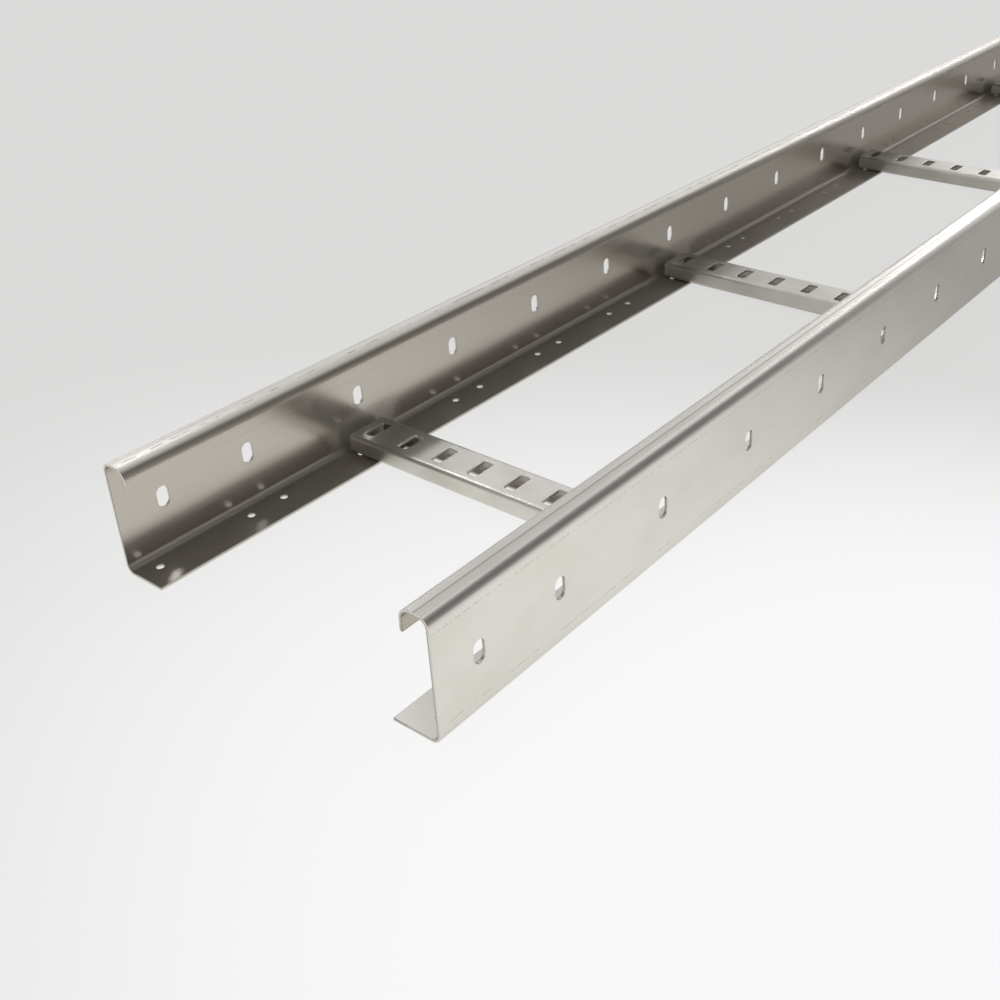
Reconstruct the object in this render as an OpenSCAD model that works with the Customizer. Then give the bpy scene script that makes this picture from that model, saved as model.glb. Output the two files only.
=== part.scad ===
// Cable ladder section in folded stainless steel sheet: two side rails of C section with their open
// sides facing inwards, and slotted C rungs, open below, whose feet stand on the rails' bottom flanges.
// X runs along the ladder, Y across it and Z up. The origin is the middle of its footprint.

/* [Ladder] */
// Width over the outer faces of both side rails
ladder_w = 200; // [150:1:600]
// Number of rungs in the section
rungs = 10; // [2:1:20]
// Number of web slots from one rung to the next
slots_per_bay = 4; // [2:1:6]

/* [Side rail] */
// Height of the side rail
rail_h = 60; // [45:1:120]
// Thickness of the rail's sheet
rail_t = 1.5; // [1:0.1:2.5]
// Width of the top flange over the web and the lip
top_flange_w = 15.5; // [12:0.5:30]
// Height of the lip that hangs from the top flange, from the flange's upper face
lip_h = 11.5; // [8:0.5:16]
// Width of the bottom flange, from the web's outer face to its free edge
bottom_flange_w = 25.5; // [20:0.5:40]
// Outer radius of the bend between the web and the top flange
top_bend_r = 5; // [2.6:0.1:5.5]
// Outer radius of the bend between the top flange and its lip
lip_bend_r = 5.5; // [2.6:0.1:6]
// Outer radius of the bend between the web and the bottom flange
bottom_bend_r = 5; // [2.6:0.1:6]

/* [Web slots] */
// Distance from one web slot to the next
slot_pitch = 75; // [50:1:100]
// Distance from the cut end to the first slot, which takes the joint plate
end_slot_x = 25; // [12:1:32]
// Width of a web slot, along the rail
web_slot_w = 6.5; // [5:0.5:11]
// Height of a web slot over its round ends
web_slot_h = 11; // [11:0.5:20]
// Height of the slots' centres above the rail's underside
web_slot_z = 29.5; // [25:0.5:32]

/* [Flange holes] */
// Diameter of the small holes in the bottom flange
flange_hole_d = 4; // [3:0.1:5]
// Distance between the two holes of a pair, which straddles each web slot
flange_pair_x = 21; // [14:0.5:30]
// Distance from the web's outer face to the row of holes
flange_hole_y = 10.5; // [8:0.5:14]

/* [Rung] */
// Width of a rung, along the ladder
rung_w = 26; // [22:0.5:40]
// Height of a rung
rung_h = 11; // [9:0.5:25]
// Thickness of the rung's sheet
rung_t = 1.5; // [1:0.1:2]
// Width of each foot that turns in under the rung, over its wall
rung_foot_w = 6; // [5:0.5:9]
// Outer radius of the rung's four long bends
rung_bend_r = 2.3; // [2.2:0.1:4]
// Gap between the rung's end and the start of the rail's bottom bend
rung_end_gap = 0.5; // [0.2:0.1:4]

/* [Tie slots] */
// Distance from one tie slot to the next along a rung
tie_pitch = 24.5; // [15:0.5:40]
// Length of a tie slot, across the rung
tie_slot_l = 14.5; // [8:0.5:16]
// Width of a tie slot, along the rung
tie_slot_w = 6.5; // [4:0.5:10]
// Radius of a tie slot's corners
tie_corner_r = 1.2; // [0.5:0.1:1.9]
// Least metal left between the last tie slot and the rung's end
tie_end_margin = 5; // [3:0.5:15]

/* [Hidden] */
rung_pitch = slots_per_bay * slot_pitch;
ladder_l = rungs * rung_pitch;
rung_l = ladder_w - 2 * (bottom_bend_r + rung_end_gap);
tie_slots = 1 + floor((rung_l - 2 * tie_end_margin - tie_slot_w) / tie_pitch);
web_slots = floor(ladder_l / slot_pitch) - 1;
// Length by which a cutting tool passes each face of the sheet
over = 1;
$fn = 48;

// Positions along the ladder, from its middle
web_slot_x = concat(
    [end_slot_x - ladder_l / 2],
    [for (i = [1:web_slots]) i * slot_pitch - ladder_l / 2],
    [ladder_l / 2 - end_slot_x]
);
flange_hole_x = [
    for (i = [0:web_slots + 1], side = [-1, 1])
        let (x = i * slot_pitch - ladder_l / 2 + side * flange_pair_x / 2)
        if (abs(x) < ladder_l / 2) x
];

// A quarter of a bend in sheet of thickness t, in the first quadrant about its centre
module bend(r, t) {
    intersection() {
        difference() {
            circle(r);
            circle(r - t);
        }
        square(r);
    }
}

// Sheet section of a side rail, with the web's outer face on x = 0 and the flanges towards +x
module rail_section() {
    top_y = rail_h - rail_t;
    lip_x = top_flange_w - rail_t;
    translate([0, bottom_bend_r]) square([rail_t, rail_h - bottom_bend_r - top_bend_r]);
    translate([top_bend_r, top_y]) square([top_flange_w - top_bend_r - lip_bend_r, rail_t]);
    translate([lip_x, rail_h - lip_h]) square([rail_t, lip_h - lip_bend_r]);
    translate([bottom_bend_r, 0]) square([bottom_flange_w - bottom_bend_r, rail_t]);
    translate([top_bend_r, rail_h - top_bend_r]) rotate(90) bend(top_bend_r, rail_t);
    translate([top_flange_w - lip_bend_r, rail_h - lip_bend_r]) bend(lip_bend_r, rail_t);
    translate([bottom_bend_r, bottom_bend_r]) rotate(180) bend(bottom_bend_r, rail_t);
}

// Slot with round ends, standing on end about its centre
module round_slot(w, h) {
    square([w, h - w], center = true);
    for (side = [-1, 1]) translate([0, side * (h - w) / 2]) circle(d = w);
}

// Rectangular slot with small round corners, about its centre
module corner_slot(l, w, r) {
    square([l, w - 2 * r], center = true);
    square([l - 2 * r, w], center = true);
    for (sx = [-1, 1], sy = [-1, 1]) translate([sx * (l / 2 - r), sy * (w / 2 - r)]) circle(r);
}

// Carries a section drawn in Y and Z along X, centred on the origin
module along_x(l) {
    translate([-l / 2, 0, 0]) rotate([90, 0, 90]) linear_extrude(l) children();
}

// Side rail with its web's outer face on Y = 0 and its flanges towards +Y
module side_rail() {
    difference() {
        along_x(ladder_l) rail_section();
        for (x = web_slot_x)
            translate([x, rail_t + over, web_slot_z]) rotate([90, 0, 0])
                linear_extrude(rail_t + 2 * over) round_slot(web_slot_w, web_slot_h);
        for (x = flange_hole_x)
            translate([x, flange_hole_y, -over]) cylinder(d = flange_hole_d, h = rail_t + 2 * over);
    }
}

module side_rail_right() {
    color("silver") translate([0, -ladder_w / 2, 0]) side_rail();
}

module side_rail_left() {
    color("silver") mirror([0, 1, 0]) translate([0, -ladder_w / 2, 0]) side_rail();
}

// Sheet section of a rung about its middle, a C that is open below between its two feet
module rung_section() {
    bend_x = rung_w / 2 - rung_bend_r;
    for (side = [0, 1]) mirror([side, 0]) {
        translate([rung_w / 2 - rung_t, rung_bend_r]) square([rung_t, rung_h - 2 * rung_bend_r]);
        translate([bend_x, rung_h - rung_bend_r]) bend(rung_bend_r, rung_t);
        translate([bend_x, rung_bend_r]) rotate(-90) bend(rung_bend_r, rung_t);
        translate([rung_w / 2 - rung_foot_w, 0]) square([rung_foot_w - rung_bend_r, rung_t]);
    }
    translate([-bend_x, rung_h - rung_t]) square([2 * bend_x, rung_t]);
}

// Rung number i, counted from the -X end, with its feet on the rails' bottom flanges
module rung(i) {
    color("lightgray") translate([(i - 0.5) * rung_pitch - ladder_l / 2, 0, rail_t]) difference() {
        translate([0, rung_l / 2, 0]) rotate([90, 0, 0]) linear_extrude(rung_l) rung_section();
        for (k = [0:tie_slots - 1])
            translate([0, (k - (tie_slots - 1) / 2) * tie_pitch, rung_h - rung_t - over])
                linear_extrude(rung_t + 2 * over) corner_slot(tie_slot_l, tie_slot_w, tie_corner_r);
    }
}

side_rail_left();
side_rail_right();
for (i = [1:rungs]) rung(i);
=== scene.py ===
"""Cable ladder section in stainless steel sheet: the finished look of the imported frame.

Every rail and rung is one thick sheet. Its mesh is worked out on the flat blank, with every slot
and hole punched in it, and is then carried round the folds, as the real sheet is. Lengths are in
millimetres until a point is put in its place, and in metres after that.
"""

from __future__ import annotations

import logging
import math
from dataclasses import dataclass, field
from enum import Enum
from typing import Any

import bpy
import numpy as np
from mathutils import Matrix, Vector

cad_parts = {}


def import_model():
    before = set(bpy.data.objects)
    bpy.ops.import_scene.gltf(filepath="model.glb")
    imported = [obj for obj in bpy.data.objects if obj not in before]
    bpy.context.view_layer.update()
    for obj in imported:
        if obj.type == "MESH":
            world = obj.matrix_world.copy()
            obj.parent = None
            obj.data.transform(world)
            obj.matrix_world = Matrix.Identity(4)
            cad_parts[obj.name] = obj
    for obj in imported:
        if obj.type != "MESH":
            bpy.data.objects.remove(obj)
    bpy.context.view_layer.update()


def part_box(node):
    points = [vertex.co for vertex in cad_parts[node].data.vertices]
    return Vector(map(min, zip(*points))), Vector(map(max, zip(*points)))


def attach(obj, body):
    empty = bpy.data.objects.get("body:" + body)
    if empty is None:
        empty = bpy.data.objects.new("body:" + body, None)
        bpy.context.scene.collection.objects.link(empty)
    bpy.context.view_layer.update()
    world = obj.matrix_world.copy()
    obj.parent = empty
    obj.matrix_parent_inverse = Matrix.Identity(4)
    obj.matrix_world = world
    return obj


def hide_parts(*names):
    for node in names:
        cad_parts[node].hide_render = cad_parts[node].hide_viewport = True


LOG = logging.getLogger("cable_ladder")
MM = 0.001
SHEET_ATTRIBUTE = "sheet"
BODY = "root"
# Setting of a map range whose two ends are soft
SMOOTH = {"interpolation_type": "SMOOTHSTEP"}

Array = np.ndarray
Material = bpy.types.Material
Object = bpy.types.Object
Socket = bpy.types.NodeSocket
Tree = bpy.types.NodeTree
Vector3 = tuple[float, float, float]


class Face(Enum):
    """The two broad faces of a sheet, by the sign of their distance from its middle."""

    OUTER = 1
    INNER = -1


class Slot(Enum):
    """Names for two material slots, which nothing in the script uses."""

    RAIL = "stainless_rail"
    RUNG = "stainless_rung"


def linear_colour(hex_code: str) -> tuple[float, float, float, float]:
    """Turns an sRGB hex colour into a linear one.

    Args:
        hex_code: The colour, such as "#D8D4CE".

    Returns:
        Red, green and blue as linear values, and an alpha of 1.
    """
    srgb = np.array([int(hex_code[i : i + 2], 16) for i in (1, 3, 5)]) / 255
    linear = np.where(srgb <= 0.04045, srgb / 12.92, ((srgb + 0.055) / 1.055) ** 2.4)
    return (*map(float, linear), 1.0)


def direction(elevation: float, azimuth: float) -> Vector3:
    """Gives the unit vector that looks up by an elevation and round by an azimuth, in degrees.

    Args:
        elevation: Angle above the floor.
        azimuth: Angle from +X towards +Y.

    Returns:
        The vector (cos e cos a, cos e sin a, sin e).
    """
    e, a = math.radians(elevation), math.radians(azimuth)
    return (math.cos(e) * math.cos(a), math.cos(e) * math.sin(a), math.sin(e))


def add_node(
    tree: Tree, kind: str, inputs: Any = (), output: int | str = 0, **settings: Any
) -> Socket:
    """Adds a node, sets its properties and fills or links its inputs.

    Args:
        tree: The node tree that it goes into.
        kind: The node's type name.
        inputs: For each input, in order or by name or number, a value or the socket that feeds it.
        output: Name or number of the output that is wanted.
        **settings: Values of the node's properties.

    Returns:
        That output.
    """
    node = tree.nodes.new(kind)
    for name, value in settings.items():
        setattr(node, name, value)
    for name, value in inputs.items() if isinstance(inputs, dict) else enumerate(inputs):
        if isinstance(value, Socket):
            tree.links.new(value, node.inputs[name])
        else:
            node.inputs[name].default_value = value
    return node.outputs[output]


@dataclass(frozen=True)
class Step:
    """One stretch of a fold line: a flat, or part of a circle of the middle of the sheet."""

    length: float
    curvature: float = 0.0


def right_bend(outer_radius: float, thickness: float) -> Step:
    """Gives a quarter turn to the right.

    Args:
        outer_radius: Radius of the bend's outer face.
        thickness: Thickness of the sheet.

    Returns:
        The stretch that the sheet's middle takes, a quarter of a circle.
    """
    radius = outer_radius - thickness / 2
    return Step(radius * math.pi / 2, -1 / radius)


@dataclass(frozen=True)
class Band:
    """A strip along the sheet: its middle, half its width, how soft its sides are, how strong."""

    middle: float
    half: float
    soft: float
    level: float = 1.0


@dataclass(frozen=True)
class ToolLine:
    """A thin line that the folding tool pressed, broken where a noise is under a level."""

    band: Band
    gaps: float
    dash_length: float
    dash_width: float = 12.0
    dash_depth: float = 50.0
    # How far the noise goes from the level before the line is wholly there or gone
    soft: float = 0.06


@dataclass(frozen=True)
class FoldLine:
    """The line that the middle of a folded sheet takes, seen along the folds."""

    start: tuple[float, float]
    heading: float
    steps: tuple[Step, ...]

    @property
    def ends(self) -> Array:
        """Distances along the line at which its steps begin and end."""
        return np.cumsum([0.0, *(step.length for step in self.steps)])

    def at(self, across: Array) -> tuple[Array, Array]:
        """Works out points of the line.

        On each step the heading is h = h0 + k s, with k the curvature and s the distance from the
        step's start. A flat runs s (cos h, sin h), and a bend (sin h - sin h0, cos h0 - cos h) / k.

        Args:
            across: Distances along the line, from its start.

        Returns:
            The points and the unit headings there, both with two columns.
        """
        point = np.zeros((len(across), 2))
        turned = np.zeros(len(across))
        origin, heading = np.array(self.start), self.heading
        stretch = np.searchsorted(self.ends, across, side="right") - 1
        stretch = np.clip(stretch, 0, len(self.steps) - 1)
        for number, step in enumerate(self.steps):
            here = stretch == number
            run = np.append(across[here] - self.ends[number], step.length)
            angle = heading + step.curvature * run
            if step.curvature:
                move = np.column_stack(
                    [np.sin(angle) - math.sin(heading), math.cos(heading) - np.cos(angle)]
                )
                move /= step.curvature
            else:
                move = run[:, None] * [math.cos(heading), math.sin(heading)]
            point[here], turned[here] = origin + move[:-1], angle[:-1]
            origin, heading = origin + move[-1], float(angle[-1])
        return point, np.column_stack([np.cos(turned), np.sin(turned)])

    def bends(self) -> tuple[Band, ...]:
        """Gives the strips of the sheet that are bent."""
        return tuple(
            Band(float(start) + step.length / 2, half=step.length / 2, soft=1.2)
            for start, step in zip(self.ends, self.steps)
            if step.curvature
        )


@dataclass(frozen=True)
class Placement:
    """Where a folded sheet stands: its origin, and the directions of its length and its section."""

    origin: Vector3
    along: Vector3
    section_x: Vector3
    section_y: Vector3 = (0.0, 0.0, 1.0)


@dataclass(frozen=True)
class CutEdge:
    """A sheared or punched edge: rolled over where the tool enters and nearly sharp behind."""

    thickness: float
    roll_over: float = 0.2
    burr_side: float = 0.08
    turns: int = 3

    def rows(self, face_offsets: tuple[float, ...] = (), dish: float = 0.0) -> tuple[Array, Array]:
        """Works out the profile that wraps the edge from one face of the sheet to the other.

        The two corners are quarter circles: a point at angle f stands r sin f past the corner's
        start and r (1 - cos f) below the face. Near an opening both faces sink by the dish times
        (1 - d / D) squared, at distance d from the edge, where D is the outermost offset.

        Args:
            face_offsets: Distances from the edge of the rows on the faces, from far to near.
            dish: Depth by which the tool has drawn the sheet in at the edge.

        Returns:
            Rows of (distance towards the void, height over the sheet's middle), and rows of the
            normal's parts towards the void and away from the sheet's middle.
        """
        half, angle = self.thickness / 2, np.linspace(0, math.pi / 2, self.turns)
        away, reach = np.array(face_offsets), max(face_offsets, default=1.0)
        rows, normals = [], []
        for face, radius in ((1, self.roll_over), (-1, self.burr_side)):
            place = np.concatenate([-away, radius * (np.sin(angle) - 1)])
            corner = half - radius * (1 - np.cos(angle))
            height = np.concatenate([np.full(len(away), half), corner])
            near = np.clip(1 + place / reach, 0, 1)
            tilt = np.concatenate([np.zeros(len(away)), angle])
            tilt = tilt + face * np.arctan(2 * dish * near / reach) * np.cos(tilt)
            block = np.column_stack([place, face * height - dish * near**2])
            bent = np.column_stack([np.sin(tilt), face * np.cos(tilt)])
            rows.append(block[::face])
            normals.append(bent[::face])
        return np.concatenate(rows), np.concatenate(normals)


@dataclass(frozen=True)
class Punch:
    """One kind of punched opening with round corners, and the rectangle of the blank round it."""

    length: float
    width: float
    corner: float
    cell_length: float
    cell_width: float
    dish: float = 0.0
    face_offsets: tuple[float, ...] = (0.7,)
    corner_facets: int = 6
    # Least distance of a corner's centre from the opening's middle lines
    least_inset: float = 0.01

    def outline(self) -> tuple[Array, Array]:
        """Works out the opening's outline, clockwise from the corner at +length and -width.

        A corner is a quarter circle about (length / 2 - corner, width / 2 - corner), and a round
        end is two corners that all but meet.

        Returns:
            The outline's points and the unit vectors from them into the void.
        """
        quarter = np.linspace(0, -math.pi / 2, self.corner_facets)
        angle = (quarter[None, :] - np.arange(4)[:, None] * math.pi / 2).ravel()
        outward = np.column_stack([np.cos(angle), np.sin(angle)])
        inset = np.array([self.length, self.width]) / 2 - self.corner
        inset = np.maximum(inset, self.least_inset)
        centre = np.repeat([[1, -1], [-1, -1], [-1, 1], [1, 1]], self.corner_facets, axis=0)
        points = centre * inset + outward * self.corner
        turn = -(self.corner_facets // 2)
        return np.roll(points, turn, axis=0), np.roll(-outward, turn, axis=0)

    def cell_corners(self) -> Array:
        """Gives the corners of the rectangle, from -length and -width by +length round."""
        half = [self.cell_length / 2, self.cell_width / 2]
        return np.array([[-1, -1], [1, -1], [1, 1], [-1, 1]]) * half


@dataclass
class BlankMesh:
    """The mesh of a sheet while it is still flat: its points, normals and faces."""

    points: list[Array] = field(default_factory=list)
    normals: list[Array] = field(default_factory=list)
    faces: list[Array] = field(default_factory=list)
    cut: list[bool] = field(default_factory=list)
    count: int = 0
    weld_decimals: int = 4

    def add(self, points: Array, normals: Array, faces: list[tuple[Array, bool]]) -> None:
        """Adds a block of points with the faces on it.

        Args:
            points: Rows of (along, across, height over the sheet's middle).
            normals: Rows of the unit normals, in the same directions.
            faces: Arrays of faces of equal size, numbered within the block, each with whether
                they are part of a cut edge.
        """
        self.points.append(points.reshape(-1, 3))
        self.normals.append(normals.reshape(-1, 3))
        for block, cut in faces:
            self.faces.append(block.reshape(-1, block.shape[-1]) + self.count)
            self.cut.append(cut)
        self.count += self.points[-1].shape[0]

    def welded(self) -> tuple[Array, Array, list[Array]]:
        """Merges the points that fall together.

        Returns:
            The points, their normals, and the arrays of faces on the merged points.
        """
        points, normals = np.concatenate(self.points), np.concatenate(self.normals)
        places = np.round(points, self.weld_decimals)
        _, first, merged = np.unique(places, axis=0, return_index=True, return_inverse=True)
        merged = merged.ravel()
        return points[first], normals[first], [merged[block] for block in self.faces]


@dataclass(frozen=True)
class Blank:
    """A flat sheet with openings, on a grid of lines along and across it."""

    length: float
    width: float
    edge: CutEdge
    lines_along: Array
    lines_across: Array
    punched: tuple[tuple[Punch, Array], ...]
    # Least distance of a grid line from the outermost one
    spare: float = 0.1
    line_decimals: int = 5

    def mesh(self) -> BlankMesh:
        """Builds both faces, the openings and the cut edges of the sheet.

        Returns:
            The flat mesh.
        """
        mesh = BlankMesh()
        self._faces(mesh)
        self._rim(mesh)
        for punch, centres in self.punched:
            self._openings(mesh, punch, centres)
        return mesh

    def _grid_lines(self) -> tuple[Array, Array]:
        """Works out the grid's lines.

        Returns:
            The lines along the sheet and those across it, the outermost of them where the edge
            starts to roll over.
        """
        inset = self.edge.roll_over
        half = self.length / 2 - inset
        along = self.lines_along[np.abs(self.lines_along) < half - self.spare]
        low, high = inset + self.spare, self.width - inset - self.spare
        across = self.lines_across[(self.lines_across > low) & (self.lines_across < high)]
        return (
            np.unique(np.round([-half, *along, half], self.line_decimals)),
            np.unique(np.round([inset, *across, self.width - inset], self.line_decimals)),
        )

    def _faces(self, mesh: BlankMesh) -> None:
        """Adds the two broad faces, a quad to each cell of the grid that holds no opening.

        Args:
            mesh: The flat mesh.
        """
        a, b = np.meshgrid(*self._grid_lines(), indexing="ij")
        number = np.arange(a.size).reshape(a.shape)
        quads = [number[:-1, :-1], number[1:, :-1], number[1:, 1:], number[:-1, 1:]]
        middle_a = (a[:-1, :-1] + a[1:, 1:]) / 2
        middle_b = (b[:-1, :-1] + b[1:, 1:]) / 2
        whole = np.ones(middle_a.shape, bool)
        for punch, centres in self.punched:
            apart_a = np.abs(middle_a[..., None] - centres[:, 0]) < punch.cell_length / 2
            apart_b = np.abs(middle_b[..., None] - centres[:, 1]) < punch.cell_width / 2
            whole &= ~(apart_a & apart_b).any(axis=-1)
        kept = np.stack(quads, axis=-1)[whole]
        for face in Face:
            height = np.full(a.shape, face.value * self.edge.thickness / 2)
            normal = np.zeros((*a.shape, 3))
            normal[..., 2] = face.value
            points = np.stack([a, b, height], axis=-1)
            mesh.add(points, normal, [(kept[:, :: face.value], False)])

    def _rim(self, mesh: BlankMesh) -> None:
        """Adds the cut edge all round the sheet, a profile carried round its outline.

        Args:
            mesh: The flat mesh.
        """
        along, across = self._grid_lines()
        a0, a1, b0, b1 = along[0], along[-1], across[0], across[-1]
        sides = (
            np.column_stack([along[:-1], np.full(len(along) - 1, b0)]),
            np.column_stack([np.full(len(across) - 1, a1), across[:-1]]),
            np.column_stack([along[:0:-1], np.full(len(along) - 1, b1)]),
            np.column_stack([np.full(len(across) - 1, a0), across[:0:-1]]),
        )
        loop = np.concatenate(sides)
        ways = [
            np.isclose(loop[:, 0], a1) * 1.0 - np.isclose(loop[:, 0], a0),
            np.isclose(loop[:, 1], b1) * 1.0 - np.isclose(loop[:, 1], b0),
        ]
        rows, normals = self.edge.rows()
        rows[:, 0] += self.edge.roll_over
        self._strip(mesh, loop[None], np.column_stack(ways)[None], rows, normals, 0)

    def _openings(self, mesh: BlankMesh, punch: Punch, centres: Array) -> None:
        """Adds all openings of one kind, each with the faces out to its cell's corners.

        Args:
            mesh: The flat mesh.
            punch: The kind of opening.
            centres: Rows of (along, across).
        """
        outline, inward = punch.outline()
        rows, normals = CutEdge(self.edge.thickness).rows(punch.face_offsets, punch.dish)
        first = mesh.count
        loops = centres[:, None, :] + outline
        inward = np.broadcast_to(inward, loops.shape)
        self._strip(mesh, loops, inward, rows, normals, len(punch.face_offsets))
        around, count = len(outline), len(centres)
        corners = centres[:, None, :] + punch.cell_corners()
        start = first + np.arange(count)[:, None, None] * len(rows) * around
        quarter = np.arange(4)[:, None] * (around // 4) + np.arange(around // 4 + 1)
        pair = np.array([[0, 1], [3, 0], [2, 3], [1, 2]])
        for face, row in ((Face.OUTER, 0), (Face.INNER, len(rows) - 1)):
            height = np.full((count, 4, 1), face.value * self.edge.thickness / 2)
            points = np.concatenate([corners, height], axis=-1)
            normal = np.zeros_like(points)
            normal[..., 2] = face.value
            own = np.arange(count)[:, None, None] * 4 + pair[None]
            ring = start + row * around + quarter[None] % around - mesh.count
            polygons = np.concatenate([own, ring], axis=-1)
            mesh.add(points, normal, [(polygons[..., :: face.value], False)])

    @staticmethod
    def _strip(
        mesh: BlankMesh, loops: Array, outward: Array, rows: Array, normals: Array, on_face: int
    ) -> None:
        """Adds an edge profile carried round closed loops.

        A point is loop + outward * distance, at the profile's height.

        Args:
            mesh: The flat mesh.
            loops: Loops of points, with the metal on their left.
            outward: Vectors into the void at those points.
            rows: The profile's distances and heights.
            normals: The profile's normals.
            on_face: How many rows at each end of the profile lie on the broad faces.
        """
        count, around = loops.shape[:2]
        shape = (count, len(rows), around, 1)
        places = loops[:, None] + outward[:, None] * rows[None, :, None, :1]
        heights = np.broadcast_to(rows[None, :, None, 1:], shape)
        unit = outward / np.linalg.norm(outward, axis=-1, keepdims=True)
        sideways = unit[:, None] * normals[None, :, None, :1]
        upward = np.broadcast_to(normals[None, :, None, 1:], shape)
        number = np.arange(math.prod(shape)).reshape(shape[:3])
        after = np.roll(number, -1, axis=2)
        quads = np.stack([number[:, 1:], after[:, 1:], after[:, :-1], number[:, :-1]], axis=-1)
        cut = slice(on_face, len(rows) - 1 - on_face)
        blocks = [(quads[:, cut], True)]
        if on_face:
            beside = np.concatenate([quads[:, : cut.start], quads[:, cut.stop :]], axis=1)
            blocks.append((beside, False))
        mesh.add(
            np.concatenate([places, heights], axis=-1),
            np.concatenate([sideways, upward], axis=-1),
            blocks,
        )


def fold_blank(
    name: str, blank: Blank, fold: FoldLine, place: Placement, finishes: list[Material]
) -> Object:
    """Carries a blank round its folds and makes the Blender piece.

    The point (along, across, height) goes to origin + along A + m(across) + height n(across),
    where m is the fold line in the plane of the section and n its left-hand normal.

    Args:
        name: Name of the piece.
        blank: The flat sheet.
        fold: The line that its middle takes.
        place: Where it stands.
        finishes: The materials of the broad faces and of the cut edges.

    Returns:
        The piece, in metres, at the origin.
    """
    flat_mesh = blank.mesh()
    points, normals, faces = flat_mesh.welded()
    middle, heading = fold.at(points[:, 1])
    left = np.column_stack([-heading[:, 1], heading[:, 0]])
    section = middle + left * points[:, 2:]
    axes = np.array([place.along, place.section_x, place.section_y])
    where = np.array(place.origin) + np.column_stack([points[:, 0], section]) @ axes
    turned = heading * normals[:, 1:2] + left * normals[:, 2:]
    facing = np.column_stack([normals[:, 0], turned]) @ axes

    mesh = bpy.data.meshes.new(name)
    mesh.from_pydata(where * MM, [], [f for block in faces for f in block.tolist()])
    mesh.polygons.foreach_set("use_smooth", np.ones(len(mesh.polygons), bool))
    sizes = [len(block) for block in faces]
    mesh.polygons.foreach_set("material_index", np.repeat(flat_mesh.cut, sizes).astype(np.int32))
    on_sheet = mesh.attributes.new(SHEET_ATTRIBUTE, "FLOAT_VECTOR", "POINT")
    on_sheet.data.foreach_set("vector", points.astype(np.float32).ravel())
    for material in finishes:
        mesh.materials.append(material)
    mesh.normals_split_custom_set_from_vertices(facing)
    mesh.update()
    piece = bpy.data.objects.new(name, mesh)
    bpy.context.scene.collection.objects.link(piece)
    return piece


class SheetMetal:
    """A new metal material, with patterns drawn in a sheet's own coordinates in millimetres."""

    def __init__(self, name: str) -> None:
        """Starts the material.

        Args:
            name: Name of the material.
        """
        self.material = bpy.data.materials.new(name)
        self.material.use_nodes = True
        self.tree = self.material.node_tree
        self.shader = self.tree.nodes["Principled BSDF"]
        self.shader.inputs["Metallic"].default_value = 1.0
        self.place = add_node(
            self.tree, "ShaderNodeAttribute", output="Vector", attribute_name=SHEET_ATTRIBUTE
        )

    def noise(self, size: Vector3, detail: float) -> Socket:
        """Adds a noise whose patches have a size in millimetres.

        Args:
            size: Size of a patch along, across and through the sheet.
            detail: How many finer octaves it has.

        Returns:
            The noise's value, around 0.5.
        """
        scale = tuple(1 / s for s in size)
        scaled = add_node(self.tree, "ShaderNodeMapping", {"Vector": self.place, "Scale": scale})
        return add_node(
            self.tree, "ShaderNodeTexNoise", {"Vector": scaled, "Scale": 1.0, "Detail": detail}
        )

    def bands(self, bands: tuple[Band, ...]) -> Socket | float:
        """Adds how far a place lies in any of some strips, by its distance from their middles.

        Args:
            bands: The strips.

        Returns:
            A value from 0 outside to the strip's own level inside.
        """
        across = add_node(self.tree, "ShaderNodeSeparateXYZ", (self.place,), output=1)
        shown: Socket | float = 0.0
        for band in bands:
            apart = (across, band.middle)
            apart = (add_node(self.tree, "ShaderNodeMath", apart, operation="SUBTRACT"),)
            apart = add_node(self.tree, "ShaderNodeMath", apart, operation="ABSOLUTE")
            rim = (band.half + band.soft / 2, band.half - band.soft / 2)
            near = (apart, *rim, 0.0, band.level)
            near = (shown, add_node(self.tree, "ShaderNodeMapRange", near, **SMOOTH))
            shown = add_node(self.tree, "ShaderNodeMath", near, operation="MAXIMUM")
        return shown

    def on_face(self, face: Face) -> Socket:
        """Adds whether a place lies on one face of the sheet.

        Args:
            face: The face.

        Returns:
            1 on that face and 0 on the other.
        """
        height = add_node(self.tree, "ShaderNodeSeparateXYZ", (self.place,), output=2)
        way = "GREATER_THAN" if face is Face.OUTER else "LESS_THAN"
        return add_node(self.tree, "ShaderNodeMath", (height, 0.0), operation=way)

    def feed(self, sockets: dict[str, Socket]) -> None:
        """Links sockets to the shader's inputs of those names."""
        for name, socket in sockets.items():
            self.tree.links.new(socket, self.shader.inputs[name])


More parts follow.
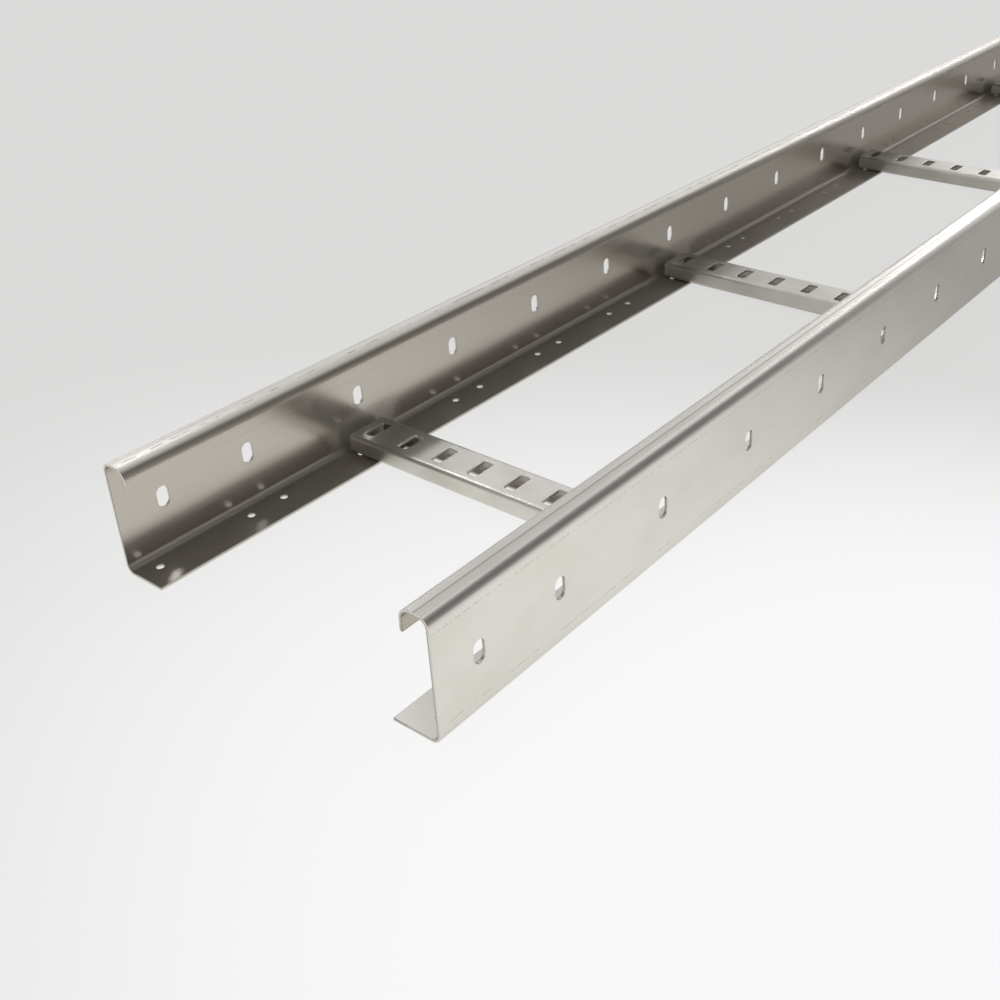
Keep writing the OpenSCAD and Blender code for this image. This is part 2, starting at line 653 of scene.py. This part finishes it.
@dataclass(frozen=True)
class ColdRolledStainless:
    """Cold-rolled stainless steel sheet, bright rolled and then folded.

    To the eye: a satin grey with a soft mirror in it, drawn out across the coil's grain, cloudy
    patches from handling, bends with another lustre, and thin lines where the folding tool's
    shoulders pressed.
    """

    name: str
    # Direction that the coil's grain has on the ladder
    grain_way: Vector3
    bends: tuple[Band, ...]
    tool_lines: tuple[ToolLine, ...] = ()
    # Low ridges that the tool left
    crowns: tuple[Band, ...] = ()
    # Strips scuffed by the rungs and bolts and by the folding of the lip
    scuffed: tuple[Band, ...] = ()
    # Painted shade: a darker colour on the inner face and the lip, for their dim reflections
    painted_shade: str | None = None
    lip: tuple[Band, ...] = ()
    # Strips brushed dull beside the rungs, with the rungs' distance, and how far from a rung's
    # middle the brushing begins and is full
    brushed: tuple[Band, ...] = ()
    rung_pitch: float = 300.0
    brushed_reach: tuple[float, float] = (31.0, 14.0)
    colour: str = "#DCD9D3"
    smudge: str = "#CBC6BF"
    scored: str = "#B4B0AA"
    mottling: float = 0.3
    stretch: float = 0.65
    roughness: float = 0.175
    # What the grain takes from the roughness and adds to it, and what each kind of mark adds
    grain_roughness: tuple[float, float] = (-0.015, 0.035)
    smudge_roughness: float = 0.07
    score_roughness: float = 0.1
    bend_roughness: float = 0.12
    scuff_roughness: float = 0.16
    brushed_roughness: float = 0.3
    # Real grain is 0.05 mm wide, which no pixel shows, so it is drawn ten times as coarse
    grain: Vector3 = (45.0, 0.5, 1.0)
    cloud: Vector3 = (35.2, 22.0, 8.0)
    wave: Vector3 = (55.0, 27.5, 50.0)
    # Values of the noises between which the grain and the clouds come in
    grain_range: tuple[float, float] = (0.3, 0.7)
    cloud_range: tuple[float, float] = (0.35, 0.75)
    grain_height: float = 0.002
    wave_height: float = 0.1
    crown_height: float = 0.1

    def material(self) -> Material:
        """Builds the material.

        Returns:
            A metal whose roughness, colour and relief follow the sheet's own coordinates.
        """
        sheet = SheetMetal(self.name)
        tree = sheet.tree
        sheet.shader.inputs["Anisotropic"].default_value = self.stretch
        facing = add_node(tree, "ShaderNodeNewGeometry", output="Normal")
        sides = (facing, self.grain_way)
        tangent = add_node(tree, "ShaderNodeVectorMath", sides, operation="CROSS_PRODUCT")
        grain = sheet.noise(self.grain, detail=2.0)
        cloudy = (sheet.noise(self.cloud, detail=3.0), *self.cloud_range, 0.0, self.mottling)
        smudged = add_node(tree, "ShaderNodeMapRange", cloudy, **SMOOTH)
        scored = self._scored(sheet)
        sheet.feed({
            "Tangent": tangent,
            "Base Color": self._colour(sheet, smudged, scored),
            "Roughness": self._spread(sheet, grain, smudged, scored),
            "Normal": self._relief(sheet, grain),
        })
        return sheet.material

    def _colour(self, sheet: SheetMetal, smudged: Socket, scored: Socket) -> Socket:
        """Mixes the clean, smudged and scored colours with the painted shade of the inner face and
        lip.

        Args:
            sheet: The material.
            smudged: Share of the cloudy patches.
            scored: Share of the tool's lines.

        Returns:
            The base colour.
        """
        shares = [(smudged, self.smudge)]
        # Painted shade: the inner face and the lip's strips get a darker colour for their dim
        # reflections
        if self.painted_shade:
            inside = (sheet.bands(self.lip), sheet.on_face(Face.INNER))
            inside = add_node(sheet.tree, "ShaderNodeMath", inside, operation="MAXIMUM")
            shares.append((inside, self.painted_shade))
        shares.append((scored, self.scored))
        colour: Any = linear_colour(self.colour)
        for share, tone in shares:
            mix = {0: share, 6: colour, 7: linear_colour(tone)}
            colour = add_node(sheet.tree, "ShaderNodeMix", mix, output=2, data_type="RGBA")
        return colour

    def _spread(self, sheet: SheetMetal, grain: Socket, smudged: Socket, scored: Socket) -> Socket:
        """Works out the roughness: the grain's, and each kind of mark's share times its amount.

        Args:
            sheet: The material.
            grain: The grain's noise.
            smudged: Share of the cloudy patches.
            scored: Share of the tool's lines.

        Returns:
            The roughness.
        """
        fine, coarse = (self.roughness + change for change in self.grain_roughness)
        grained = (grain, *self.grain_range, fine, coarse)
        spread = add_node(sheet.tree, "ShaderNodeMapRange", grained)
        for share, amount in (
            (smudged, self.smudge_roughness),
            (scored, self.score_roughness),
            (sheet.bands(self.bends), self.bend_roughness),
            (sheet.bands(self.scuffed), self.scuff_roughness),
            (self._beside_rungs(sheet), self.brushed_roughness),
        ):
            terms = (share, amount, spread)
            spread = add_node(sheet.tree, "ShaderNodeMath", terms, operation="MULTIPLY_ADD")
        return spread

    def _relief(self, sheet: SheetMetal, grain: Socket) -> Socket:
        """Adds the relief: the sheet's slow waves, its grain and the tool's low ridges.

        Args:
            sheet: The material.
            grain: The grain's noise.

        Returns:
            The normal.
        """
        bump: dict[str, Any] = {"Strength": 1.0}
        for shape, height in (
            (sheet.noise(self.wave, detail=1.0), self.wave_height),
            (grain, self.grain_height),
            (sheet.bands(self.crowns), self.crown_height),
        ):
            bump.update(Distance=height * MM, Height=shape)
            bump["Normal"] = add_node(sheet.tree, "ShaderNodeBump", bump)
        return bump["Normal"]

    def _scored(self, sheet: SheetMetal) -> Socket:
        """Adds the folding tool's thin lines on the sheet's outer face, with gaps in them.

        Args:
            sheet: The material.

        Returns:
            How strongly a line shows, from 0 to 1.
        """
        shown: Socket | float = 0.0
        for line in self.tool_lines:
            dash = (line.dash_length, line.dash_width, line.dash_depth)
            broken = sheet.noise(dash, detail=1.0)
            rise = (broken, line.gaps - line.soft, line.gaps + line.soft)
            strength = add_node(sheet.tree, "ShaderNodeMapRange", rise, **SMOOTH)
            terms = (sheet.bands((line.band,)), strength, shown)
            shown = add_node(sheet.tree, "ShaderNodeMath", terms, operation="MULTIPLY_ADD")
        outer = (shown, sheet.on_face(Face.OUTER))
        return add_node(sheet.tree, "ShaderNodeMath", outer, operation="MULTIPLY")

    def _beside_rungs(self, sheet: SheetMetal) -> Socket | float:
        """Adds the dull places on the sheet's inner face, one beside each rung's end.

        Args:
            sheet: The material.

        Returns:
            A value from 0 elsewhere to 1 on such a place.
        """
        if not self.brushed:
            return 0.0
        half = self.rung_pitch / 2
        along = (add_node(sheet.tree, "ShaderNodeSeparateXYZ", (sheet.place,)), half)
        along = add_node(sheet.tree, "ShaderNodeMath", along, operation="PINGPONG")
        rise = (half - reach for reach in self.brushed_reach)
        near = add_node(sheet.tree, "ShaderNodeMapRange", (along, *rise), **SMOOTH)
        shown = sheet.bands(self.brushed)
        for share in (near, sheet.on_face(Face.INNER)):
            shown = add_node(sheet.tree, "ShaderNodeMath", (shown, share), operation="MULTIPLY")
        return shown


@dataclass(frozen=True)
class ShearedSteel:
    """Edge of stainless sheet as the shear and the punch leave it.

    To the eye: a burnished strip next to a duller, torn one, with fine scores through the sheet.
    """

    name: str = "stainless_sheared_edge"
    burnished: str = "#D9D5CE"
    torn: str = "#B5B0A8"
    burnished_roughness: float = 0.4
    torn_roughness: float = 0.5
    # Real scores are 0.1 mm apart and are drawn at 0.4 mm, running through the sheet
    score: Vector3 = (0.4, 0.4, 4.0)
    score_height: float = 0.005
    score_strength: float = 0.6
    # How far the scores shift the torn part's border, and the heights over the sheet's middle
    # between which it fades in
    wander: float = 0.5
    torn_border: tuple[float, float] = (0.35, -0.05)

    def material(self) -> Material:
        """Builds the material.

        Returns:
            A metal that is duller on the far half of the thickness, scored across the edge.
        """
        sheet = SheetMetal(self.name)
        tree = sheet.tree
        scores = sheet.noise(self.score, detail=2.0)
        height = add_node(tree, "ShaderNodeSeparateXYZ", (sheet.place,), output=2)
        terms = (scores, self.wander, height)
        height = add_node(tree, "ShaderNodeMath", terms, operation="MULTIPLY_ADD")
        torn = add_node(tree, "ShaderNodeMapRange", (height, *self.torn_border), **SMOOTH)
        mix = {0: torn, 6: linear_colour(self.burnished), 7: linear_colour(self.torn)}
        spread = (torn, 0.0, 1.0, self.burnished_roughness, self.torn_roughness)
        bump = {"Strength": self.score_strength, "Height": scores}
        bump["Distance"] = self.score_height * MM
        sheet.feed({
            "Base Color": add_node(tree, "ShaderNodeMix", mix, output=2, data_type="RGBA"),
            "Roughness": add_node(tree, "ShaderNodeMapRange", spread),
            "Normal": add_node(tree, "ShaderNodeBump", bump),
        })
        return sheet.material


@dataclass
class SideRail:
    """A side rail: a C section with a lip, slotted in its web and drilled in its bottom flange."""

    node: str
    turned: bool
    length: float = 3000.0
    ladder_width: float = 200.0
    height: float = 60.0
    thickness: float = 1.5
    top_flange: float = 15.5
    lip: float = 11.5
    bottom_flange: float = 25.5
    top_bend: float = 5.0
    lip_bend: float = 5.5
    bottom_bend: float = 5.0
    slot_pitch: float = 75.0
    end_slot: float = 25.0
    slot_width: float = 6.5
    slot_height: float = 11.0
    slot_level: float = 29.5
    hole: float = 4.0
    hole_pair: float = 21.0
    hole_row: float = 10.5
    # Half the length of a web slot's cell, and the length of a hole's cell beside it
    cell: float = 7.0
    # Half the height of a web slot's cell
    slot_cell: float = 8.5
    # What the round openings' radius lacks, which keeps their outlines' points apart
    trim: float = 0.01
    # The fold line's bent steps, with the number of grid lines on each
    bend_lines: tuple[tuple[int, int], ...] = ((1, 13), (3, 15), (5, 15))
    # Distance from the web of the folding tool's line on the top flange
    top_line: float = 7.5
    line_gaps: float = 0.25
    # Levels of its two faint lines on the web, with the length of their dashes
    web_lines: tuple[tuple[float, float], ...] = ((52.3, 2.0), (8.3, 3.0))
    # Level on the web of the brushed places beside the rungs
    brushed_level: float = 7.0
    # How far before the lip the folding scuffed its bend most, and the share of that bend that
    # the lip's painted shade leaves out
    lip_scuff: float = 1.5
    clean_bend: float = 0.3
    # Colour of the painted shade on the inner face and lip, standing in for their dim reflections
    painted_shade: str | None = None

    @property
    def fold(self) -> FoldLine:
        """The section's middle line, from the bottom flange's free edge round to the lip's."""
        t = self.thickness
        return FoldLine(
            start=(self.bottom_flange, t / 2),
            heading=math.pi,
            steps=(
                Step(self.bottom_flange - self.bottom_bend),
                right_bend(self.bottom_bend, t),
                Step(self.height - self.bottom_bend - self.top_bend),
                right_bend(self.top_bend, t),
                Step(self.top_flange - self.top_bend - self.lip_bend),
                right_bend(self.lip_bend, t),
                Step(self.lip - self.lip_bend),
            ),
        )

    @property
    def placement(self) -> Placement:
        """The right rail's place, or the same turned half round for the left one."""
        way = -1.0 if self.turned else 1.0
        return Placement(
            origin=(0.0, -way * self.ladder_width / 2, 0.0),
            along=(way, 0.0, 0.0),
            section_x=(0.0, way, 0.0),
        )

    def web_level(self, level: float) -> float:
        """Gives the distance across the blank of a level on the web."""
        return float(self.fold.ends[2]) + level - self.bottom_bend

    def top_place(self, from_web: float) -> float:
        """Gives the distance across the blank of a place on the top flange."""
        return float(self.fold.ends[4]) + from_web - self.top_bend

    def finish(self) -> ColdRolledStainless:
        """Works out the finish of the rail's faces, with its marks in their places.

        Returns:
            The finish.
        """
        free_edge, top_line = float(self.fold.ends[-1]), self.top_place(self.top_line)
        faint = (
            ToolLine(Band(self.web_level(level), half=0.25, soft=0.3, level=0.6), 0.5, dash)
            for level, dash in self.web_lines
        )
        return ColdRolledStainless(
            f"stainless_{self.node}",
            grain_way=(1.0, 0.0, 0.0),
            bends=self.fold.bends(),
            tool_lines=(
                ToolLine(Band(top_line, half=0.5, soft=0.4), self.line_gaps, dash_length=7.0),
                *faint,
            ),
            crowns=(Band(top_line, half=0.0, soft=6.0),),
            scuffed=(
                Band(0.0, half=self.bottom_flange - self.bottom_bend, soft=2.0),
                Band(free_edge - self.lip - self.lip_scuff, half=3.0, soft=3.0, level=0.9),
            ),
            # The painted shade covers the inner face and the lip, less part of the lip's bend
            painted_shade=self.painted_shade,
            lip=(Band(free_edge, half=self.lip - self.clean_bend * self.lip_bend, soft=3.0),),
            brushed=(Band(self.web_level(self.brushed_level), half=11.0, soft=12.0),),
        )

    def blank(self) -> Blank:
        """Lays out the flat sheet with its slots and holes.

        Returns:
            The blank, with grid lines round every opening and close together on the bends.
        """
        ends, half_cell = self.fold.ends, self.cell / 2
        steps = np.arange(round(self.length / self.slot_pitch) + 1) * self.slot_pitch
        slots = np.array([self.end_slot, *steps[1:-1], self.length - self.end_slot])
        slots -= self.length / 2
        holes = (steps[:, None] + np.array([-1, 1]) * self.hole_pair / 2).ravel()
        holes -= self.length / 2
        holes = holes[np.abs(holes) < self.length / 2]
        level, row = self.web_level(self.slot_level), self.bottom_flange - self.hole_row
        slot = Punch(
            self.slot_width,
            self.slot_height,
            self.slot_width / 2 - self.trim,
            2 * self.cell,
            2 * self.slot_cell,
            dish=0.03,
            face_offsets=(2.0, 1.2, 0.6),
            corner_facets=8,
        )
        hole = Punch(self.hole, self.hole, self.hole / 2 - self.trim, self.cell, self.cell)
        lines_along = [slots - self.cell, slots + self.cell, holes - half_cell, holes + half_cell]
        bends = [np.linspace(ends[n], ends[n + 1], count) for n, count in self.bend_lines]
        cells = [level - self.slot_cell, level + self.slot_cell, row - half_cell, row + half_cell]
        return Blank(
            length=self.length,
            width=float(ends[-1]),
            edge=CutEdge(self.thickness, roll_over=0.15),
            lines_along=np.concatenate(lines_along),
            lines_across=np.concatenate([*bends, cells]),
            punched=(
                (slot, np.column_stack([slots, np.full(len(slots), level)])),
                (hole, np.column_stack([holes, np.full(len(holes), row)])),
            ),
        )

    def build(self, cut: Material) -> Object:
        """Builds the rail and puts it in its CAD node's place.

        Args:
            cut: Finish of the sheet's cut edges.

        Returns:
            The piece.
        """
        finishes = [self.finish().material(), cut]
        name = f"{self.node}_sheet"
        piece = fold_blank(name, self.blank(), self.fold, self.placement, finishes)
        return dress(piece, self.node)


@dataclass
class Rung:
    """A rung: a C section open below between two feet, with a row of tie slots in its top."""

    node: str
    centre_x: float
    width: float = 26.0
    height: float = 11.0
    length: float = 189.0
    thickness: float = 1.5
    bend: float = 2.3
    foot: float = 6.0
    foot_level: float = 1.5
    slot_pitch: float = 24.5
    slots: int = 8
    slot_length: float = 14.5
    slot_width: float = 6.5
    slot_corner: float = 1.2
    # Rim of a tie slot's cell beside the slot, and half the cell's length across the rung
    cell_rim: float = 2.6
    cell_half: float = 9.4
    bend_lines: int = 11

    @property
    def fold(self) -> FoldLine:
        """The section's middle line, from one foot's free edge over the top to the other's."""
        bend = right_bend(self.bend, self.thickness)
        foot, wall = Step(self.foot - self.bend), Step(self.height - 2 * self.bend)
        top = Step(self.width - 2 * self.bend)
        return FoldLine(
            start=(self.foot - self.width / 2, self.thickness / 2),
            heading=math.pi,
            steps=(foot, bend, wall, bend, top, bend, wall, bend, foot),
        )

    def blank(self) -> Blank:
        """Lays out the flat sheet with its tie slots.

        Returns:
            The blank, with grid lines round every slot and close together on the bends.
        """
        ends = self.fold.ends
        middle = float(ends[-1]) / 2
        slots = (np.arange(self.slots) - (self.slots - 1) / 2) * self.slot_pitch
        half = (self.slot_width / 2 + self.cell_rim, self.cell_half)
        slot = Punch(
            self.slot_width,
            self.slot_length,
            self.slot_corner,
            2 * half[0],
            2 * half[1],
            dish=0.05,
            face_offsets=(2.0, 1.3, 0.7, 0.4),
        )
        bends = [np.linspace(ends[n], ends[n + 1], self.bend_lines) for n in (1, 3, 5, 7)]
        return Blank(
            length=self.length,
            width=float(ends[-1]),
            edge=CutEdge(self.thickness, roll_over=0.15),
            lines_along=np.concatenate([slots - half[0], slots + half[0]]),
            lines_across=np.concatenate([*bends, [middle - half[1], middle + half[1]]]),
            punched=((slot, np.column_stack([slots, np.full(len(slots), middle)])),),
        )

    @classmethod
    def finish(cls) -> ColdRolledStainless:
        """Gives the finish that all rungs share, with the grain along the rung."""
        return ColdRolledStainless(
            "stainless_rung_sheet",
            grain_way=(0.0, 1.0, 0.0),
            bends=cls("", 0.0).fold.bends(),
            mottling=0.65,
            roughness=0.4,
            bend_roughness=-0.04,
            colour="#E0DDD8",
            stretch=0.6,
        )

    def build(self, face: Material, cut: Material) -> Object:
        """Builds the rung and puts it in its CAD node's place.

        Args:
            face: Finish of the sheet's faces.
            cut: Finish of its cut edges.

        Returns:
            The piece.
        """
        place = Placement(
            origin=(self.centre_x, 0.0, self.foot_level),
            along=(0.0, -1.0, 0.0),
            section_x=(1.0, 0.0, 0.0),
        )
        piece = fold_blank(f"{self.node}_sheet", self.blank(), self.fold, place, [face, cut])
        return dress(piece, self.node)


def dress(piece: Object, node: str) -> Object:
    """Lets a piece stand for its CAD node and reports it.

    Args:
        piece: The finished piece.
        node: The CAD node.

    Returns:
        The same piece.
    """
    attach(piece, BODY)
    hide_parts(node)
    piece.data.calc_loop_triangles()
    LOG.info("%s: %d triangles", piece.name, len(piece.data.loop_triangles))
    return piece


@dataclass
class CableLadder:
    """The whole section: two side rails with ten rungs between them."""

    rungs: int = 10

    def build(self) -> list[Object]:
        """Builds every rail and rung.

        Returns:
            The pieces.
        """
        rails = [
            # The left rail, seen from inside, gets a painted shade on its inner face and lip
            SideRail("side_rail_left", True, top_line=9.0, line_gaps=0.52, painted_shade="#C1BBB3"),
            SideRail("side_rail_right", False),
        ]
        cut = ShearedSteel().material()
        pieces = [rail.build(cut) for rail in rails]
        face = Rung.finish().material()
        for number in range(1, self.rungs + 1):
            node = f"rung_{number}"
            low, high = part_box(node)
            pieces.append(Rung(node, (low.x + high.x) / 2 / MM).build(face, cut))
        return pieces


@dataclass(frozen=True)
class SheenFloor:
    """Gloss white laminate floor: an even near-white that falls off gently with distance."""

    near_tone: str = "#F9F9F9"
    far_tone: str = "#DBDBDA"
    # The tone falls off between two distances from this place, with the part along Y drawn in
    near_place: Vector3 = (-1.46, -1.515, 0.0)
    drawn_in: Vector3 = (1.0, 0.3, 0.0)
    fall_off: tuple[float, float] = (0.405, 0.562)
    # What the metal mirrors falls off along X between two places
    mirrored_near: str = "#FDFDFB"
    mirrored_far: str = "#B4B2B0"
    mirrored_fall_off: tuple[float, float] = (-1.4, -0.9)
    # The rails take some of the light from the floor between them
    mirrored_outside: str = "#FFFFFF"
    mirrored_between: str = "#F6F6F4"
    beside_rail: tuple[float, float] = (-0.115, -0.085)
    size: float = 40.0
    # Share of its own light in what the camera sees, which keeps the object's shadow soft, and in
    # what the metal mirrors
    own_light: float = 0.94
    mirrored_own_light: float = 0.9

    def build(self) -> Object:
        """Builds the floor.

        Returns:
            The floor, which is part of the stage.
        """
        half = self.size / 2
        corners = [(-half, -half, 0), (half, -half, 0), (half, half, 0), (-half, half, 0)]
        mesh = bpy.data.meshes.new("floor")
        mesh.from_pydata(corners, [], [(0, 1, 2, 3)])
        mesh.materials.append(self.material())
        floor = bpy.data.objects.new("floor", mesh)
        bpy.context.scene.collection.objects.link(floor)
        return floor

    @staticmethod
    def _tone(
        tree: Tree, run: Socket, reach: tuple[float, float], before: str, after: str
    ) -> Socket:
        """Adds a tone that changes smoothly over a distance.

        Args:
            tree: The material's nodes.
            run: The distance on the floor, in metres.
            reach: Distances at which the change starts and ends.
            before: The colour before it.
            after: The colour after it.

        Returns:
            The colour.
        """
        share = add_node(tree, "ShaderNodeMapRange", (run, *reach), **SMOOTH)
        mix = {0: share, 6: linear_colour(before), 7: linear_colour(after)}
        return add_node(tree, "ShaderNodeMix", mix, output=2, data_type="RGBA")

    @staticmethod
    def _surface(tree: Tree, tone: Socket, own_light: Socket | float) -> Socket:
        """Adds a matt surface that gives some light of its own.

        Args:
            tree: The material's nodes.
            tone: The colour of both.
            own_light: Share of its own light.

        Returns:
            The surface.
        """
        lit = add_node(tree, "ShaderNodeBsdfDiffuse", (tone,))
        own = add_node(tree, "ShaderNodeEmission", (tone,))
        return add_node(tree, "ShaderNodeMixShader", (own_light, lit, own))

    def material(self) -> Material:
        """Builds the floor's material.

        Returns:
            A pale surface that takes the object's shadow, with part of its tone its own light.
        """
        material = bpy.data.materials.new("floor_gloss_laminate")
        material.use_nodes = True
        tree = material.node_tree
        tree.nodes.remove(tree.nodes["Principled BSDF"])
        place = add_node(tree, "ShaderNodeTexCoord", output="Object")
        apart = (place, self.near_place)
        apart = (add_node(tree, "ShaderNodeVectorMath", apart, operation="SUBTRACT"), self.drawn_in)
        apart = (add_node(tree, "ShaderNodeVectorMath", apart, operation="MULTIPLY"),)
        away = add_node(tree, "ShaderNodeVectorMath", apart, output="Value", operation="LENGTH")
        seen = self._tone(tree, away, self.fall_off, self.near_tone, self.far_tone)
        x = add_node(tree, "ShaderNodeSeparateXYZ", (place,))
        y = x.node.outputs[1]
        along = self._tone(tree, x, self.mirrored_fall_off, self.mirrored_near, self.mirrored_far)
        across = self._tone(tree, y, self.beside_rail, self.mirrored_outside, self.mirrored_between)
        mix = {0: 1.0, 6: along, 7: across}
        mirrored = add_node(
            tree, "ShaderNodeMix", mix, output=2, data_type="RGBA", blend_type="MULTIPLY"
        )
        camera_ray = add_node(tree, "ShaderNodeLightPath", output="Is Camera Ray")
        glossy_ray = camera_ray.node.outputs["Is Glossy Ray"]
        own_light = (camera_ray, self.own_light)
        own_light = add_node(tree, "ShaderNodeMath", own_light, operation="MULTIPLY")
        direct = self._surface(tree, seen, own_light)
        in_metal = self._surface(tree, mirrored, self.mirrored_own_light)
        surface = add_node(tree, "ShaderNodeMixShader", (glossy_ray, direct, in_metal))
        tree.links.new(surface, tree.nodes["Material Output"].inputs["Surface"])
        return material


@dataclass(frozen=True)
class Patch:
    """A round patch of the studio's surroundings, with a soft rim."""

    elevation: float
    azimuth: float
    inner: float
    outer: float
    level: float = 1.0

    def share(self, tree: Tree, look: Socket) -> Socket:
        """Adds how far a direction lies in the patch, from the angle between it and the middle.

        Args:
            tree: The world's nodes.
            look: The direction looked in.

        Returns:
            A value from 0 outside to the patch's level inside.
        """
        ways = (look, direction(self.elevation, self.azimuth))
        near = add_node(
            tree, "ShaderNodeVectorMath", ways, output="Value", operation="DOT_PRODUCT"
        )
        rim = (math.cos(math.radians(angle)) for angle in (self.outer, self.inner))
        return add_node(tree, "ShaderNodeMapRange", (near, *rim, 0.0, self.level), **SMOOTH)


@dataclass(frozen=True)
class Lamp:
    """A round lamp, which lights either the matt floor or the metal."""

    name: str
    place: Vector3
    aim: Vector3
    width: float
    power: float
    on_metal: bool

    def build(self) -> None:
        """Builds the lamp and turns it to its aim."""
        light = bpy.data.lights.new(self.name, "AREA")
        light.shape, light.size, light.energy = "DISK", self.width, self.power
        holder = bpy.data.objects.new(self.name, light)
        holder.location = self.place
        turn = (Vector(self.aim) - Vector(self.place)).to_track_quat("-Z", "Y")
        holder.rotation_euler = turn.to_euler()
        holder.visible_camera = False
        holder.visible_glossy, holder.visible_diffuse = self.on_metal, not self.on_metal
        bpy.context.scene.collection.objects.link(holder)


@dataclass(frozen=True)
class Studio:
    """The soft studio: an even room light, and the light and dark surroundings that metal shows."""

    seen_tone: str = "#E6E6E5"
    room_tone: str = "#FFFFFF"
    room_strength: float = 0.78
    lamps: tuple[Lamp, ...] = (
        Lamp("overhead_softbox", (-0.4, 0.5, 3.0), (-0.87, 0.98, 0.0), 3.0, 30.0, False),
        Lamp("lamp_left", (-0.97, 0.85, 0.98), (-1.3, 0.0, 0.0), 0.12, 1.05, True),
        Lamp("lamp_behind", (1.0, 0.45, 0.98), (-1.1, 0.0, 0.0), 0.12, 2.2, True),
    )
    # Brightness of the surroundings by the sine of the elevation, and the ramp's greatest
    heights: tuple[tuple[float, float], ...] = (
        (0.0, 0.9), (0.07, 0.5), (0.14, 0.5), (0.22, 1.06), (0.4, 1.04), (0.435, 0.82),
        (0.48, 0.68), (0.55, 0.66), (0.62, 0.72), (0.8, 0.62), (1.0, 0.5),
    )
    greatest: float = 1.6
    # Patches by their middle's elevation and azimuth, the angles of their rim and their level
    dark: tuple[Patch, ...] = (
        Patch(34, -48, 19, 34),
        Patch(10, -50, 14, 28, 0.85),
        Patch(29, -130, 25, 45),
        Patch(28, 122, 12, 28),
    )
    dark_level: float = 0.16
    bright: tuple[Patch, ...] = (
        Patch(38, 6, 4, 16, 0.35),
        Patch(25, 12, 4, 15, 0.4),
        Patch(60, -14, 5, 15, 0.65),
        Patch(48, 64, 9, 16, 0.2),
    )
    air_tint: str = "#FBFAFB"

    def build(self) -> None:
        """Builds the world and the lamps."""
        self._world()
        for lamp in self.lamps:
            lamp.build()

    def _surroundings(self, tree: Tree) -> Socket:
        """Works out how bright the surroundings are in the direction that a ray looks in.

        The ramp by height gets the bright patches added, and the dark ones are laid over it.

        Args:
            tree: The world's nodes.

        Returns:
            The brightness.
        """
        look = add_node(tree, "ShaderNodeTexCoord", output="Generated")
        up = add_node(tree, "ShaderNodeSeparateXYZ", (look,), output=2)
        level = add_node(tree, "ShaderNodeValToRGB", (up,))
        stops = level.node.color_ramp.elements
        while len(stops) < len(self.heights):
            stops.new(0.5)
        # The places come first, as the stops are sorted anew when one moves
        for stop, (place, _) in zip(stops, self.heights):
            stop.position = place
        for stop, (_, brightness) in zip(stops, self.heights):
            stop.color = (*[brightness / self.greatest] * 3, 1.0)
        level = add_node(tree, "ShaderNodeMath", (level, self.greatest), operation="MULTIPLY")
        for patch in self.bright:
            level = add_node(tree, "ShaderNodeMath", (level, patch.share(tree, look)))
        shade: Socket | float = 0.0
        for patch in self.dark:
            shares = (shade, patch.share(tree, look))
            shade = add_node(tree, "ShaderNodeMath", shares, operation="MAXIMUM")
        return add_node(tree, "ShaderNodeMix", {0: shade, 2: level, 3: self.dark_level})

    def _world(self) -> None:
        """Builds the world: an even light for matt things, and surroundings for glossy ones."""
        world = bpy.data.worlds.new("studio")
        world.use_nodes = True
        bpy.context.scene.world = world
        tree = world.node_tree
        in_metal, room, seen = (
            add_node(tree, "ShaderNodeBackground", (linear_colour(tone), strength))
            for tone, strength in (
                (self.air_tint, self._surroundings(tree)),
                (self.room_tone, self.room_strength),
                (self.seen_tone, 1.0),
            )
        )
        camera_ray = add_node(tree, "ShaderNodeLightPath", output="Is Camera Ray")
        glossy_ray = camera_ray.node.outputs["Is Glossy Ray"]
        unseen = add_node(tree, "ShaderNodeMixShader", (glossy_ray, room, in_metal))
        whole = add_node(tree, "ShaderNodeMixShader", (camera_ray, unseen, seen))
        tree.links.new(whole, tree.nodes["World Output"].inputs["Surface"])


@dataclass(frozen=True)
class Camera:
    """The camera at the photograph's viewing angle."""

    place: Vector3 = (-1.749621, -0.372518, 0.336077)
    turn: Vector3 = (61.875903, 1.673835, -52.727359)
    lens: float = 45.3472
    sensor: float = 36.0
    shift: tuple[float, float] = (-0.088, -0.085)
    clip: tuple[float, float] = (0.01, 60.0)

    def build(self) -> Object:
        """Builds the camera and makes it the scene's.

        Returns:
            The camera.
        """
        data = bpy.data.cameras.new("camera")
        data.lens, data.sensor_width = self.lens, self.sensor
        data.shift_x, data.shift_y = self.shift
        data.clip_start, data.clip_end = self.clip
        camera = bpy.data.objects.new("camera", data)
        camera.location = self.place
        camera.rotation_euler = [math.radians(angle) for angle in self.turn]
        bpy.context.scene.collection.objects.link(camera)
        bpy.context.scene.camera = camera
        return camera


def main() -> None:
    """Builds the ladder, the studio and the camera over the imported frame."""
    logging.basicConfig(level=logging.INFO, format="%(name)s: %(message)s")
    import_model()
    pieces = CableLadder().build()
    SheenFloor().build()
    Studio().build()
    Camera().build()
    bpy.context.scene.view_settings.view_transform = "Standard"
    LOG.info("%d pieces", len(pieces))


if __name__ == "__main__":
    main()
